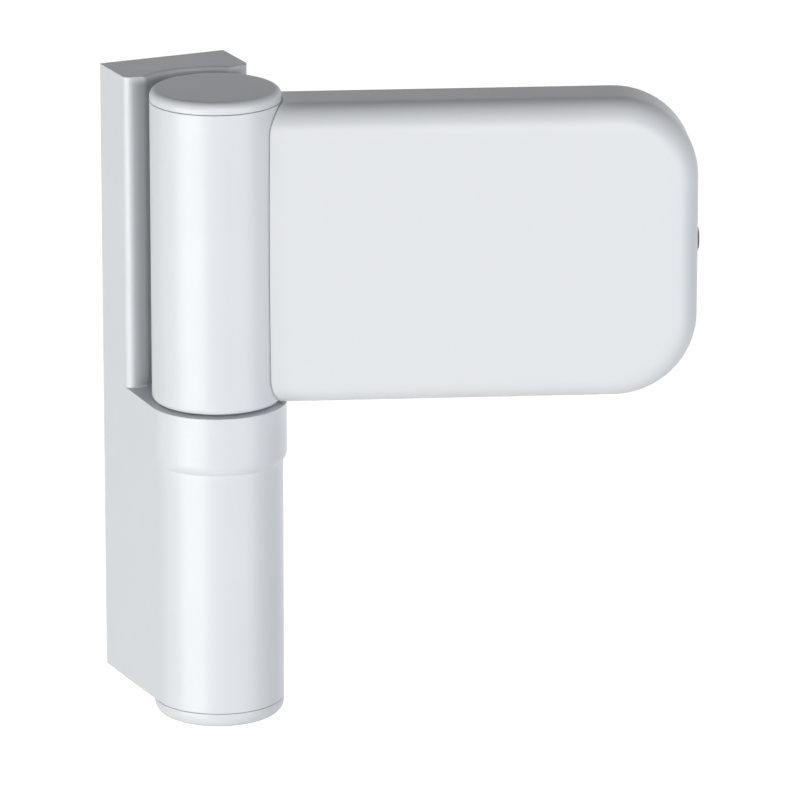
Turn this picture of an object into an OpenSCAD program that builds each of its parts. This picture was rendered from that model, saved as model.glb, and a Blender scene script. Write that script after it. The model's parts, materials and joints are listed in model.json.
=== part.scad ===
// Adjustable door hinge with one fixed frame part and one leaf on a vertical pin.
// The back of the frame part lies in the plane y = 0 and the door side is at negative y.
// The plane z = 0 is the ledge that the leaf knuckle turns above.
// Opening angle, height, reach and pressure are shown at their stored setting.

/* [Barrel] */
// Diameter of the knuckle and of the lower barrel
barrel_d = 22; // [21:0.5:26]
// Height of the knuckle and of the lower barrel, each measured from the ledge to its cap
barrel_h = 52; // [50:1:64]
// Running gap between the ledge and the underside of the knuckle
ledge_gap = 0.4; // [0.3:0.1:0.8]
// Radius of the rounded lower edge of the knuckle
knuckle_edge_r = 1; // [0.5:0.1:1.5]

/* [Caps] */
// Height of the top cap above its seam
top_cap_h = 2.1; // [1.8:0.1:3]
// Edge radius of the top cap
top_cap_edge_r = 1.3; // [0.8:0.1:1.6]
// Height of the bottom cap below its seam
bottom_cap_h = 2.8; // [2.4:0.1:4]
// Edge radius of the bottom cap
bottom_cap_edge_r = 2; // [1:0.1:2.2]
// Height of the thin shadow groove at each cap seam
seam_h = 0.12; // [0.08:0.02:0.2]
// Depth that each cap plugs into its bore
cap_plug_h = 2.2; // [1.6:0.1:2.4]
// Wall of the ring that each cap plugs in with
cap_plug_wall = 1.2; // [0.8:0.1:1.6]

/* [Frame part] */
// How far each flank of the frame part stands out beside the barrel
frame_side = 0.25; // [0.25:0.25:3]
// Distance from the barrel axis back to the mounting face
axis_setback = 23; // [21:0.5:30]
// How far the front of the upper plate lies behind the back of the knuckle
horn_gap = 0.9; // [0.5:0.1:2]
// Gap between the knuckle and the channel in the upper plate
channel_gap = 3.1; // [2.8:0.1:3.6]
// Radius of the outer front edges of the upper plate
horn_outer_r = 1.4; // [0.8:0.1:1.6]
// Radius of the inner front edges of the upper plate
horn_inner_r = 2; // [1:0.1:2.4]
// Radius of the rounded top edge of the channel
channel_edge_r = 0.6; // [0.3:0.1:1]
// Radius of the fillet between channel and ledge
channel_foot_r = 0.9; // [0.4:0.1:1.4]
// How far the collar stands out from the lower barrel
collar_step = 0.65; // [0.4:0.05:0.9]
// Height of the straight part of the collar
collar_h = 8.6; // [6:0.2:12]
// Height of the rounded lower edge of the collar
collar_edge_h = 1.5; // [1:0.1:2]

/* [Frame fixings] */
// Diameter of the countersunk screw holes in the channel
frame_hole_d = 5.5; // [4.5:0.5:6]
// Head diameter that the countersinks take
frame_head_d = 10.6; // [9:0.2:11.4]
// Height of the lower screw hole above the ledge
frame_hole_low = 14; // [12:1:16]
// Distance of the upper screw hole below the top of the plate
frame_hole_high = 14.1; // [12.1:1:18.1]
// Core diameter of the tapped holes in the back
tapped_d = 5; // [4:0.5:6]
// Depth of the tapped holes in the back
tapped_depth = 9; // [6:0.5:10]
// Distance of the tapped holes from the ledge and from the foot of the barrel
tapped_inset = 13; // [12:1:16]

/* [Pin and bushes] */
// Diameter of the hinge pin
pin_d = 9; // [8:0.5:9]
// Sideways offset between the eccentric bush and the pin
eccentric = 1; // [0.5:0.1:1]
// Outer diameter of the eccentric bush
bush_d = 16; // [15.6:0.1:16.2]
// Metal between the key socket and the bore of the eccentric bush
bush_floor = 1.95; // [1.5:0.05:3]
// Thickness of the web above the eccentric bush
web_t = 3; // [2:0.5:4]
// Wall of the plastic liner round the pin
liner_wall = 1; // [0.8:0.1:1]
// Thickness of the two steel discs that the pin runs between
disc_t = 2; // [1.5:0.1:2]
// Outer diameter of the two knuckle bushes
knuckle_bush_d = 14; // [13:0.5:14.5]
// Space between the two knuckle bushes
knuckle_bush_space = 2.6; // [1:0.2:12]
// Thickness of the ring nut that holds the eccentric bush
ring_nut_h = 4; // [3:0.5:4]
// How much wider the ring nut is than the eccentric bush, on each side
ring_nut_step = 0.5; // [0.4:0.1:0.7]
// Room between the ring nut and the plug of the bottom cap
ring_nut_gap = 0.75; // [0.5:0.05:2]

/* [Height screw] */
// Thread diameter of the height screw
height_screw_d = 10; // [8:0.5:11]
// Length of the height screw
height_screw_len = 10.5; // [9:0.5:11]
// Room between the height screw and the plug of the top cap
height_screw_gap = 1.3; // [0.5:0.1:2]
// Travel of the height setting
height_travel = 4; // [2:0.5:4]
// Depth of the cap socket in the top of the knuckle
cap_socket_h = 5; // [4:0.5:5]
// Width across flats of the key sockets in the bush and in the height screw
key_af = 6; // [4:1:6]

/* [Leaf] */
// Opening angle of the leaf as shown
open_angle = 20; // [0:5:90]
// Distance from the barrel axis to the free end of the leaf
leaf_reach = 80.5; // [80:0.5:96]
// Distance from the barrel axis forward to the front of the leaf
leaf_front = 7.3; // [7:0.1:7.8]
// Distance from the barrel axis back to the rear edge of the cover
leaf_back = 4.7; // [4.7:0.1:6]
// Corner radius at the free end of the cover
leaf_corner_r = 14; // [12:0.5:15]
// Radius of the rounded front edges of the cover
leaf_edge_r = 4.8; // [3:0.1:5]
// Wall of the cover
cover_wall = 1.8; // [1.5:0.1:2]
// Gap between the knuckle and the end of the cover
cover_gap = 0.2; // [0.1:0.05:0.3]
// Diameter of the four pegs that hold the cover
peg_d = 3.4; // [2.4:0.1:3.6]

/* [Arm and base plate] */
// Thickness of the arm
arm_t = 3.2; // [2.8:0.1:3.2]
// How much the arm narrows from rear to front on each edge
dovetail_in = 1.2; // [0.8:0.1:1.4]
// Sliding clearance round the arm
slide_gap = 0.15; // [0.1:0.05:0.2]
// Distance from the barrel axis to the near end of the base plate
plate_start = 19; // [18.8:0.1:19.5]
// Distance from the upper and lower edge of the leaf to the base plate
plate_margin = 2.8; // [2.3:0.1:3.3]
// Thickness of the base plate at its screw holes
plate_t = 4; // [3.5:0.1:4.4]
// Corner radius of the base plate
plate_corner_r = 6; // [6:0.1:7]
// How far the base plate stands proud of the cover towards the door
plate_proud = 0.1; // [0.05:0.05:0.3]
// Travel of the sideways setting in each direction
side_travel = 5; // [3:0.5:5]
// Metal between the countersinks and the upper and lower edge of the base plate
door_rim_side = 0.4; // [0.3:0.1:0.8]
// Metal between the countersinks and the guide of the arm
door_rim_guide = 0.05; // [0.05:0.05:0.8]
// Metal between the countersinks and the ends of the base plate
door_rim_end = 1.65; // [1:0.05:4]
// Diameter of the door screw holes
door_hole_d = 5.2; // [4.2:0.2:5.4]
// Head diameter that the door screw countersinks take
door_head_d = 8.4; // [7.6:0.2:8.4]
// Diameter of the two clamp screws
clamp_d = 4; // [3:0.5:4]
// Head diameter of the two clamp screws
clamp_head_d = 6.6; // [6:0.1:7]
// Head thickness of the two clamp screws
clamp_head_h = 1.5; // [1:0.1:1.6]
// Metal between the slots of the clamp screws and the edges of the arm
clamp_rim = 0.9; // [0.6:0.1:1.5]
// Distance from the near end of the base plate to the clamp screws
clamp_inset = 8; // [8:0.5:9]

/* [Side spindle] */
// Thread diameter of the side spindle
spindle_d = 4; // [3:0.5:4]
// Head diameter of the side spindle
spindle_head_d = 5.8; // [5:0.1:6]
// How far the domed head stands proud of the cover
spindle_dome_h = 0.7; // [0.4:0.1:1]
// Gap between the spindle and the rear face of the arm
spindle_gap = 0.6; // [0.3:0.1:0.6]
// Room between the thrust collar of the spindle and the inside of the cover
lug_gap = 0.5; // [0.3:0.1:1]
// Thickness of the bearing lug
lug_t = 3; // [2.5:0.5:3]
// Length of the threaded part of the spindle
spindle_thread_len = 28; // [26:1:28]
// Length of the nut block
nut_len = 8; // [6:1:9]
// Width of the nut block
nut_w = 6.4; // [6:0.2:7]
// Thickness of the retaining clip
clip_t = 0.8; // [0.6:0.1:0.8]
// Outer diameter of the retaining clip
clip_d = 6.2; // [5.4:0.2:6.4]

/* [Hidden] */
$fn = 96;

// Radial clearance of every pin, bush and thread in its bore
fit = 0.05;
// Clearance between end faces that turn on each other
face_gap = 0.05;
// Overlap that keeps cuts clean
cut = 0.5;
// How far flat and round faces of the frame part run into each other where they meet
flank_sink = 0.012;
// How far the upper plate runs down into the collar
plate_sink = 2;
// Room round the pin in the web of the frame part, beyond its sideways setting
web_gap = 0.6;
// How far the countersinks start in front of the deepest line of the channel
head_sink = 0.6;
barrel_r = barrel_d / 2;
frame_half = barrel_r + frame_side;
horn_setback = barrel_r + horn_gap;
channel_r = barrel_r + channel_gap;
plate_top = barrel_h + top_cap_h;
collar_r = barrel_r + collar_step;
pin_r = pin_d / 2;
bush_r = bush_d / 2;
ring_nut_r = bush_r + ring_nut_step;
liner_r = pin_r + fit + liner_wall;
knuckle_bush_r = knuckle_bush_d / 2;
knuckle_rim = 3;
plug_r_top = barrel_r - knuckle_rim;
key_r = key_af / 2 / cos(30);
key_depth = 3;
chamfer = 0.5;

// Levels of the pin and bushes, from the caps inwards; depths below the ledge are positive
bush_foot = barrel_h - cap_plug_h - ring_nut_gap - ring_nut_h - face_gap;
pin_foot = bush_foot - key_depth - bush_floor - face_gap - disc_t;
pin_top = barrel_h - cap_plug_h - height_screw_gap - height_screw_len - disc_t;

// Room above the steel disc in the bore of the knuckle
roof_gap = 1.5;
// Room between the upper bush and the disc when the leaf is raised fully
bush_end_gap = 0.2;
// Room beside the clamp screws in their slots
slot_play = 0.3;
// Room round the head of the spindle in the cover and round its thread in the groove
head_play = 0.2;
groove_play = 0.4;
// Depth of the clip groove in the spindle and slack of the clip in it
clip_groove = 0.4;
clip_slack = 0.05;
// Room round the clip in its recess in the arm
clip_play = 0.3;
// Width across flats of the key socket in the spindle, and its depth
spindle_key_af = 3;
spindle_key_depth = 1.6;
// Free space left at each end of the sideways travel
end_gap = 0.6;
// Thread left beyond the nut block at the end of its travel
thread_rest = 1;
// Space between the front of the arm and the inside of the cover
arm_cover_gap = 1.1;
// Metal left behind the holes of the clamp screws
clamp_floor = 1;
// Wall of the guide beside the arm
guide_wall = 2.2;
// How far the guide walls stay behind the front of the arm
guide_setback = 0.6;
// Distance of the cover pegs from the root, the lug and the edges of the arm
peg_root_gap = 2;
peg_lug_gap = 7;
peg_near_rim = 3;
peg_far_rim = 5;
// How much shorter the pegs are than the arm is thick
peg_short = 0.6;
// How much higher the root of the arm is than the arm, on each side
root_step = 2;
// How far the root and the lug of the arm stay in front of the rear edge of the cover
root_setback = 0.8;
lug_setback = 0.5;
// Half height of the bearing lug
lug_half = 6;

// Top of the upper knuckle bush and length of both
bush_top = pin_top - height_travel - bush_end_gap;
knuckle_bush_h = (bush_top - ledge_gap - knuckle_bush_space) / 2;

// Leaf levels and depths in its own frame, where x runs out along the leaf
leaf_mid = (barrel_h + ledge_gap) / 2;
leaf_half = (barrel_h - ledge_gap) / 2;
cover_inner = leaf_front - cover_wall;
arm_front = cover_inner - arm_cover_gap;
arm_back = arm_front - arm_t;
spindle_back = spindle_d / 2 + spindle_gap - arm_back;
flange_t = 1.1;
flange_d = spindle_head_d + 2 * head_play + 0.2;
head_start = leaf_reach - cover_wall - lug_gap;
lug_end = head_start - flange_t - 2 * face_gap;
lug_start = lug_end - lug_t;
clip_start = lug_start - 2 * face_gap - clip_t;
plate_back = leaf_back + plate_proud;
plate_face = plate_back - plate_t;
plate_front = arm_back - slide_gap;
plate_h = 2 * (leaf_half - plate_margin);
guide_half = plate_h / 2 - door_rim_side - door_head_d - door_rim_guide;
arm_half_h = guide_half - guide_wall - slide_gap;
plate_len = clip_start - end_gap - side_travel - plate_start;
root_end = plate_start - side_travel - end_gap;
thread_start = lug_start - spindle_thread_len;
nut_start = thread_start + side_travel + thread_rest;
groove_start = thread_start - side_travel - end_gap;
groove_r = spindle_d / 2 + groove_play;
groove_deep = plate_front + spindle_back + groove_r;
clamp_x = plate_start + clamp_inset;
clamp_z = arm_half_h - dovetail_in - clamp_rim - slot_play - clamp_head_d / 2;

// Places a shape that is drawn with the barrel axis as its z axis
module at_barrel() {
    translate([0, -axis_setback, 0]) children();
}

// Places a shape drawn in the leaf's own frame, x out along the leaf and y towards the door
module at_leaf() {
    at_barrel() rotate([0, 0, -open_angle]) children();
}

// Places a shape on the axis of the eccentric bush
module at_bush() {
    at_barrel() translate([eccentric, 0, 0]) children();
}

// Lays a shape drawn along z on the spindle axis, starting at x = start
module along_spindle(start) {
    translate([start, spindle_back, leaf_mid]) rotate([0, 90, 0]) children();
}

// Ring with flat ends between two heights
module ring(outer_r, inner_r, bottom, top) {
    translate([0, 0, bottom]) difference() {
        cylinder(r = outer_r, h = top - bottom);
        translate([0, 0, -cut]) cylinder(r = inner_r, h = top - bottom + 2 * cut);
    }
}

// Rounded rectangle centred on the origin, made from true arcs
module round_rect(w, h, r) {
    square([w - 2 * r, h], center = true);
    square([w, h - 2 * r], center = true);
    for (sx = [-1, 1], sy = [-1, 1]) {
        translate([sx * (w / 2 - r), sy * (h / 2 - r)]) circle(r = r);
    }
}

// Slot with round ends along x
module slot_2d(len, r) {
    square([len, 2 * r], center = true);
    for (s = [-1, 1]) translate([s * len / 2, 0]) circle(r = r);
}

// Point where a flank of the frame part meets the round front of radius r, sunk a little into it
function flank_end(r) =
    let (turn = atan2(horn_setback, frame_half) - acos(r / norm([frame_half, horn_setback])))
    (r - flank_sink) * [cos(turn), sin(turn)];

// Plan of the lower barrel and of the collar: a round front that runs into flat flanks
module d_plan(r) {
    end = flank_end(r);
    circle(r = r);
    polygon([
        [-end.x, end.y], [-frame_half, horn_setback], [-frame_half, axis_setback],
        [frame_half, axis_setback], [frame_half, horn_setback], end
    ]);
}

// Corner piece that is cut away to round the inner edge of one horn of the upper plate
module horn_inner_cut() {
    cy = horn_setback + horn_inner_r;
    cx = sqrt(pow(channel_r + horn_inner_r, 2) - cy * cy);
    k = channel_r / (channel_r + horn_inner_r);
    difference() {
        polygon([
            [cx, cy], [cx, horn_setback - cut], [cx * k - horn_inner_r, horn_setback - cut], [cx * k, cy * k]
        ]);
        translate([cx, cy]) circle(r = horn_inner_r + flank_sink / 2);
    }
}

// Corner piece that is cut away to round the outer edge of one horn
module horn_outer_cut() {
    translate([frame_half - horn_outer_r, horn_setback + horn_outer_r]) difference() {
        translate([0, -horn_outer_r - cut]) square([horn_outer_r + cut, horn_outer_r + cut]);
        circle(r = horn_outer_r);
    }
}

// Plan of the upper plate with its channel
module plate_plan() {
    difference() {
        translate([-frame_half, horn_setback]) square([2 * frame_half, axis_setback - horn_setback]);
        circle(r = channel_r);
        for (s = [0, 1]) mirror([s, 0]) horn_inner_cut();
        for (s = [0, 1]) mirror([s, 0]) horn_outer_cut();
    }
}

// Rounded lower edge of the collar, as a ring round the barrel
module collar_edge() {
    edge_r = (pow(collar_step, 2) + pow(collar_edge_h, 2)) / (2 * collar_step);
    translate([0, 0, -collar_h]) rotate_extrude() intersection() {
        translate([barrel_r - cut, -collar_edge_h - cut]) square([cut + collar_step, collar_edge_h + cut]);
        translate([collar_r - edge_r, 0]) circle(r = edge_r);
    }
}

// Wedge with flat faces that lets the step of the collar run out along one flank
module collar_flank(side) {
    up = flank_end(collar_r);
    low = flank_end(barrel_r);
    deep = 2 * collar_edge_h;
    mirror([side, 0, 0]) polyhedron(
        points = [
            [frame_half, horn_setback, -collar_h], [up.x, up.y, -collar_h],
            [low.x, low.y, -collar_h - collar_edge_h], [low.x - deep, low.y, -collar_h + deep],
            [low.x - deep, low.y, -collar_h - collar_edge_h - deep]
        ],
        faces = [[0, 1, 2], [0, 3, 1], [1, 3, 4], [1, 4, 2], [0, 2, 4], [0, 4, 3]]
    );
}

// Fillet between channel wall and ledge
module channel_foot() {
    foot_half = frame_half - 2 * cut;
    intersection() {
        rotate_extrude() difference() {
            translate([channel_r - channel_foot_r, -cut])
                square([channel_foot_r + 2 * cut, channel_foot_r + cut]);
            translate([channel_r - channel_foot_r, channel_foot_r]) circle(r = channel_foot_r);
        }
        translate([-foot_half, horn_setback + 2 * cut, -cut])
            cube([2 * foot_half, axis_setback - horn_setback, channel_foot_r + cut]);
    }
}

// Rounding that is cut along the top edge of the channel
module channel_lip_cut() {
    translate([0, 0, plate_top - channel_edge_r]) rotate_extrude() difference() {
        translate([channel_r - cut, 0]) square([channel_edge_r + cut, channel_edge_r + cut]);
        translate([channel_r + channel_edge_r, 0]) circle(r = channel_edge_r);
    }
}

// Countersunk hole through the wall of the channel
module frame_screw_cut(z) {
    r = frame_hole_d / 2;
    head_r = frame_head_d / 2;
    mouth = channel_r - head_sink;
    clear = 1.4;
    translate([0, 0, z]) rotate([-90, 0, 0]) {
        translate([0, 0, mouth - cut]) cylinder(r = r, h = axis_setback - mouth + 2 * cut);
        translate([0, 0, mouth]) cylinder(r1 = head_r, r2 = r, h = head_r - r);
        translate([0, 0, mouth - clear]) cylinder(r = head_r, h = clear);
    }
}

// Tapped blind hole in the mounting face
module tapped_cut(z) {
    r = tapped_d / 2;
    flare = chamfer + 0.1;
    translate([0, axis_setback - tapped_depth, z]) rotate([-90, 0, 0]) {
        cylinder(r = r, h = tapped_depth + cut);
        translate([0, 0, tapped_depth - chamfer]) cylinder(r1 = r, r2 = r + flare, h = flare);
    }
}

// Stepped bore of the lower barrel, on the axis of the eccentric bush
module frame_bore() {
    translate([eccentric, 0, 0]) {
        translate([0, 0, -barrel_h - cut]) cylinder(r = ring_nut_r + fit, h = barrel_h - bush_foot + cut);
        translate([0, 0, -bush_foot - cut]) cylinder(r = bush_r + fit, h = bush_foot - web_t + cut);
        translate([0, 0, -web_t - cut]) cylinder(r = pin_r + eccentric + web_gap, h = web_t + 2 * cut);
    }
}

// One casting: upper plate with channel, ledge, collar and lower barrel
module frame_body() {
    color([0.9, 0.91, 0.92]) at_barrel() difference() {
        union() {
            translate([0, 0, -plate_sink]) linear_extrude(plate_top + plate_sink) plate_plan();
            translate([0, 0, -collar_h]) linear_extrude(collar_h) d_plan(collar_r);
            collar_edge();
            for (side = [0, 1]) collar_flank(side);
            translate([0, 0, -barrel_h]) linear_extrude(barrel_h - collar_h) d_plan(barrel_r);
            channel_foot();
        }
        channel_lip_cut();
        frame_bore();
        for (z = [frame_hole_low, plate_top - frame_hole_high]) frame_screw_cut(z);
        for (z = [-tapped_inset, tapped_inset - barrel_h]) tapped_cut(z);
    }
}

// Cap with a rounded edge, a shadow groove and a plug ring, drawn with its top upwards
module cap_form(h, edge_r, plug_r, plug_shift) {
    rotate_extrude() {
        translate([0, seam_h]) square([barrel_r, h - seam_h - edge_r]);
        square([barrel_r - edge_r, h]);
        translate([barrel_r - edge_r, h - edge_r]) intersection() {
            circle(r = edge_r);
            square(edge_r);
        }
    }
    translate([plug_shift, 0, 0]) ring(plug_r, plug_r - cap_plug_wall, -cap_plug_h, seam_h);
}

// Push-in cap under the lower barrel
module bottom_cap() {
    color([0.9, 0.91, 0.92]) at_barrel() translate([0, 0, -barrel_h]) mirror([0, 0, 1])
        cap_form(bottom_cap_h, bottom_cap_edge_r, ring_nut_r, eccentric);
}

// Push-in cap on top of the knuckle
module top_cap() {
    color([0.9, 0.91, 0.92]) at_leaf() translate([0, 0, barrel_h])
        cap_form(top_cap_h, top_cap_edge_r, plug_r_top, 0);
}

// Ring nut with four spanner slots that holds the eccentric bush up against the web
module bush_ring_nut() {
    slot_w = 2.4;
    slot_deep = 1.6;
    hole_rim = 1.4;
    color([0.55, 0.56, 0.58]) at_bush() translate([0, 0, -bush_foot - face_gap - ring_nut_h]) difference() {
        cylinder(r = ring_nut_r, h = ring_nut_h);
        translate([0, 0, -cut]) cylinder(r = key_r + hole_rim, h = ring_nut_h + 2 * cut);
        for (a = [0, 90]) rotate([0, 0, a]) translate([0, 0, slot_deep / 2 - cut])
            cube([bush_d * 2, slot_w, slot_deep + cut], center = true);
    }
}

// Bush whose pin bore lies off its own axis, with a key socket in its foot
module eccentric_bush() {
    floor_top = pin_foot + disc_t + face_gap;
    color([0.62, 0.63, 0.65]) at_bush() difference() {
        translate([0, 0, -bush_foot]) cylinder(r = bush_r, h = bush_foot - web_t - face_gap);
        translate([-eccentric, 0, -floor_top]) cylinder(r = liner_r + fit, h = floor_top);
        translate([0, 0, -bush_foot - cut]) cylinder(r = key_r, h = key_depth + cut, $fn = 6);
    }
}

// Plastic sleeve between the eccentric bush and the pin
module pin_liner() {
    color([0.85, 0.84, 0.78]) at_barrel()
        ring(liner_r, pin_r + fit, -pin_foot - disc_t, -web_t - face_gap);
}

// Steel disc under the foot of the pin
module pin_foot_disc() {
    color([0.7, 0.71, 0.73]) at_barrel() translate([0, 0, -pin_foot - disc_t])
        cylinder(r = pin_r, h = disc_t - face_gap);
}

// Hinge pin with chamfered ends
module hinge_pin() {
    len = pin_foot + pin_top;
    color([0.72, 0.73, 0.75]) at_barrel() translate([0, 0, -pin_foot]) {
        cylinder(r1 = pin_r - chamfer, r2 = pin_r, h = chamfer);
        translate([0, 0, chamfer]) cylinder(r = pin_r, h = len - 2 * chamfer);
        translate([0, 0, len - chamfer]) cylinder(r1 = pin_r, r2 = pin_r - chamfer, h = chamfer);
    }
}

// Steel disc between the pin and the height screw
module pin_top_disc() {
    color([0.7, 0.71, 0.73]) at_barrel() translate([0, 0, pin_top + face_gap])
        cylinder(r = knuckle_bush_r - fit, h = disc_t - 2 * face_gap);
}

// Set screw in the top of the knuckle that lifts the leaf on the pin
module height_screw() {
    r = height_screw_d / 2 - fit;
    tip = pin_top + disc_t;
    color([0.5, 0.51, 0.53]) at_leaf() translate([0, 0, tip]) difference() {
        union() {
            cylinder(r1 = r - chamfer, r2 = r, h = chamfer);
            translate([0, 0, chamfer]) cylinder(r = r, h = height_screw_len - chamfer);
        }
        translate([0, 0, height_screw_len - key_depth]) cylinder(r = key_r, h = key_depth + cut, $fn = 6);
    }
}

// Knuckle body with a rounded lower edge
module knuckle() {
    rotate_extrude() translate([0, ledge_gap]) {
        translate([0, knuckle_edge_r]) square([barrel_r, barrel_h - ledge_gap - knuckle_edge_r]);
        square([barrel_r - knuckle_edge_r, knuckle_edge_r]);
        translate([barrel_r - knuckle_edge_r, knuckle_edge_r]) intersection() {
            circle(r = knuckle_edge_r);
            translate([0, -knuckle_edge_r]) square(knuckle_edge_r);
        }
    }
}

// Stepped bore of the knuckle: bush bore, thread and cap socket
module knuckle_bore() {
    roof = pin_top + disc_t + roof_gap;
    translate([0, 0, -cut]) cylinder(r = knuckle_bush_r, h = roof + cut);
    cylinder(r = height_screw_d / 2, h = barrel_h);
    translate([0, 0, barrel_h - cap_socket_h]) cylinder(r = plug_r_top + fit, h = cap_socket_h + cut);
}

// Dovetail bar of the arm, narrower at the front
module arm_bar(x0, x1) {
    translate([x0, 0, leaf_mid]) rotate([90, 0, 90]) linear_extrude(x1 - x0) polygon([
        [-arm_back, -arm_half_h], [-arm_back, arm_half_h],
        [-arm_front, arm_half_h - dovetail_in], [-arm_front, dovetail_in - arm_half_h]
    ]);
}

// Stepped slot in the arm for one clamp screw
module clamp_slot(z) {
    translate([clamp_x, 0, leaf_mid + z]) rotate([90, 0, 0]) {
        linear_extrude(arm_front + cut) slot_2d(2 * side_travel, clamp_d / 2 + slot_play);
        translate([0, 0, arm_front - clamp_head_h - 2 * face_gap]) linear_extrude(clamp_head_h + cut)
            slot_2d(2 * side_travel, clamp_head_d / 2 + slot_play);
    }
}

// Places of the cover pegs, two by the knuckle and two by the lug, as x and height from the middle
peg_near = [root_end + peg_root_gap, arm_half_h - peg_near_rim];
peg_far = [lug_start - peg_lug_gap, arm_half_h - peg_far_rim];
peg_spots = [for (p = [peg_near, peg_far], s = [-1, 1]) [p.x, s * p.y]];

// Casting of knuckle and arm, with the bearing lug of the spindle at its end
module leaf_carrier() {
    root_half = arm_half_h + root_step;
    color([0.88, 0.89, 0.9]) at_leaf() difference() {
        union() {
            knuckle();
            translate([0, -arm_front, leaf_mid - root_half])
                cube([root_end, arm_front + leaf_back - root_setback, 2 * root_half]);
            arm_bar(root_end - cut, lug_end);
            translate([lug_start, -arm_front, leaf_mid - lug_half])
                cube([lug_t, arm_front + leaf_back - lug_setback, 2 * lug_half]);
        }
        knuckle_bore();
        for (s = [-1, 1]) clamp_slot(s * clamp_z);
        along_spindle(lug_start - cut) cylinder(r = spindle_d / 2 + fit, h = lug_t + 2 * cut);
        along_spindle(clip_start - clip_play)
            cylinder(r = clip_d / 2 + clip_play, h = lug_start - clip_start + clip_play);
        for (p = peg_spots) translate([p.x, -arm_back + cut, leaf_mid + p.y]) rotate([90, 0, 0])
            cylinder(r = peg_d / 2 + fit, h = arm_t + 2 * cut);
    }
}

// Lower plastic bush of the knuckle
module lower_knuckle_bush() {
    color([0.85, 0.84, 0.78]) at_leaf()
        ring(knuckle_bush_r - fit, pin_r + fit, ledge_gap, ledge_gap + knuckle_bush_h);
}

// Upper plastic bush of the knuckle
module upper_knuckle_bush() {
    color([0.85, 0.84, 0.78]) at_leaf()
        ring(knuckle_bush_r - fit, pin_r + fit, bush_top - knuckle_bush_h, bush_top);
}

// Outline of the cover seen from the front, grown inwards by inset
module cover_outline(inset) {
    r = leaf_corner_r - inset;
    half = leaf_half - inset;
    end = leaf_reach - inset;
    square_end = leaf_reach - leaf_corner_r;
    translate([0, -half]) square([square_end, 2 * half]);
    translate([0, r - half]) square([end, 2 * (half - r)]);
    for (s = [-1, 1]) translate([square_end, s * (half - r)]) circle(r = r);
}

// Rounded slab of the cover: front edges and free corners rounded with one radius
module cover_slab(inset, back) {
    r = leaf_edge_r - inset;
    front = leaf_front - inset;
    half = leaf_half - inset;
    square_end = leaf_reach - leaf_corner_r;
    corner = leaf_corner_r - inset - r;
    translate([0, 0, leaf_mid]) {
        translate([0, back, 0]) rotate([90, 0, 0]) linear_extrude(back + front - r) cover_outline(inset);
        translate([0, back, 0]) rotate([90, 0, 0]) linear_extrude(back + front) cover_outline(inset + r);
        for (s = [-1, 1]) translate([0, r - front, s * (half - r)]) rotate([0, 90, 0])
            cylinder(r = r, h = square_end);
        translate([leaf_reach - inset - r, r - front, -(half - leaf_corner_r + inset)])
            cylinder(r = r, h = 2 * (half - leaf_corner_r + inset));
        for (s = [-1, 1]) translate([square_end, r - front, s * (half - leaf_corner_r + inset)])
            rotate([90, 0, 0]) rotate_extrude() intersection() {
                translate([corner, 0]) circle(r = r);
                translate([0, -r]) square([corner + r, 2 * r]);
            }
    }
}

// Notch in the end wall of the cover, open towards the door, so that the cover goes on over the head
module head_notch() {
    r = spindle_head_d / 2 + head_play;
    deep = cover_wall + 2 * cut;
    along_spindle(leaf_reach - cover_wall - cut) {
        cylinder(r = r, h = deep);
        translate([-r, 0, 0]) cube([2 * r, leaf_back - spindle_back + cut, deep]);
    }
}

// Moulded cover: a rounded shell, open to the door and to the knuckle
module leaf_cover() {
    peg_end = -arm_back - peg_short;
    color([0.9, 0.91, 0.92]) at_leaf() {
        difference() {
            cover_slab(0, leaf_back);
            cover_slab(cover_wall, leaf_back + cut);
            translate([0, 0, -cut]) cylinder(r = barrel_r + cover_gap, h = barrel_h + 2 * cut);
            head_notch();
        }
        for (p = peg_spots) translate([p.x, peg_end, leaf_mid + p.y]) rotate([90, 0, 0])
            cylinder(r = peg_d / 2, h = peg_end + cover_inner + cut / 2);
    }
}

// Spindle with domed head, thrust collar and thread, for the sideways setting
module side_spindle() {
    thread_r = spindle_d / 2 - fit;
    head_r = spindle_head_d / 2;
    dome_r = (pow(head_r, 2) + pow(spindle_dome_h, 2)) / (2 * spindle_dome_h);
    head_len = leaf_reach - head_start;
    color([0.25, 0.26, 0.27]) at_leaf() difference() {
        union() {
            along_spindle(thread_start) cylinder(r = thread_r, h = lug_start - thread_start);
            along_spindle(lug_start) cylinder(r = spindle_d / 2, h = head_start - lug_start);
            along_spindle(head_start - flange_t) cylinder(d = flange_d, h = flange_t);
            along_spindle(head_start) cylinder(r = head_r, h = head_len);
            along_spindle(leaf_reach) intersection() {
                translate([0, 0, spindle_dome_h - dome_r]) sphere(r = dome_r);
                cylinder(r = head_r, h = spindle_dome_h + cut);
            }
        }
        along_spindle(clip_start) ring(spindle_d, spindle_d / 2 - clip_groove, 0, clip_t);
        along_spindle(leaf_reach - spindle_key_depth)
            cylinder(r = spindle_key_af / 2 / cos(30), h = spindle_key_depth + spindle_dome_h + cut, $fn = 6);
    }
}

// Spring clip that keeps the spindle in the lug
module spindle_clip() {
    side_gap = 0.02;
    mouth = 1.6;
    color([0.35, 0.36, 0.37]) at_leaf() along_spindle(clip_start + side_gap) difference() {
        ring(clip_d / 2, spindle_d / 2 - clip_groove + clip_slack, 0, clip_t - 2 * side_gap);
        translate([0, -mouth / 2, -cut]) cube([clip_d, mouth, clip_t + 2 * cut]);
    }
}

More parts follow.
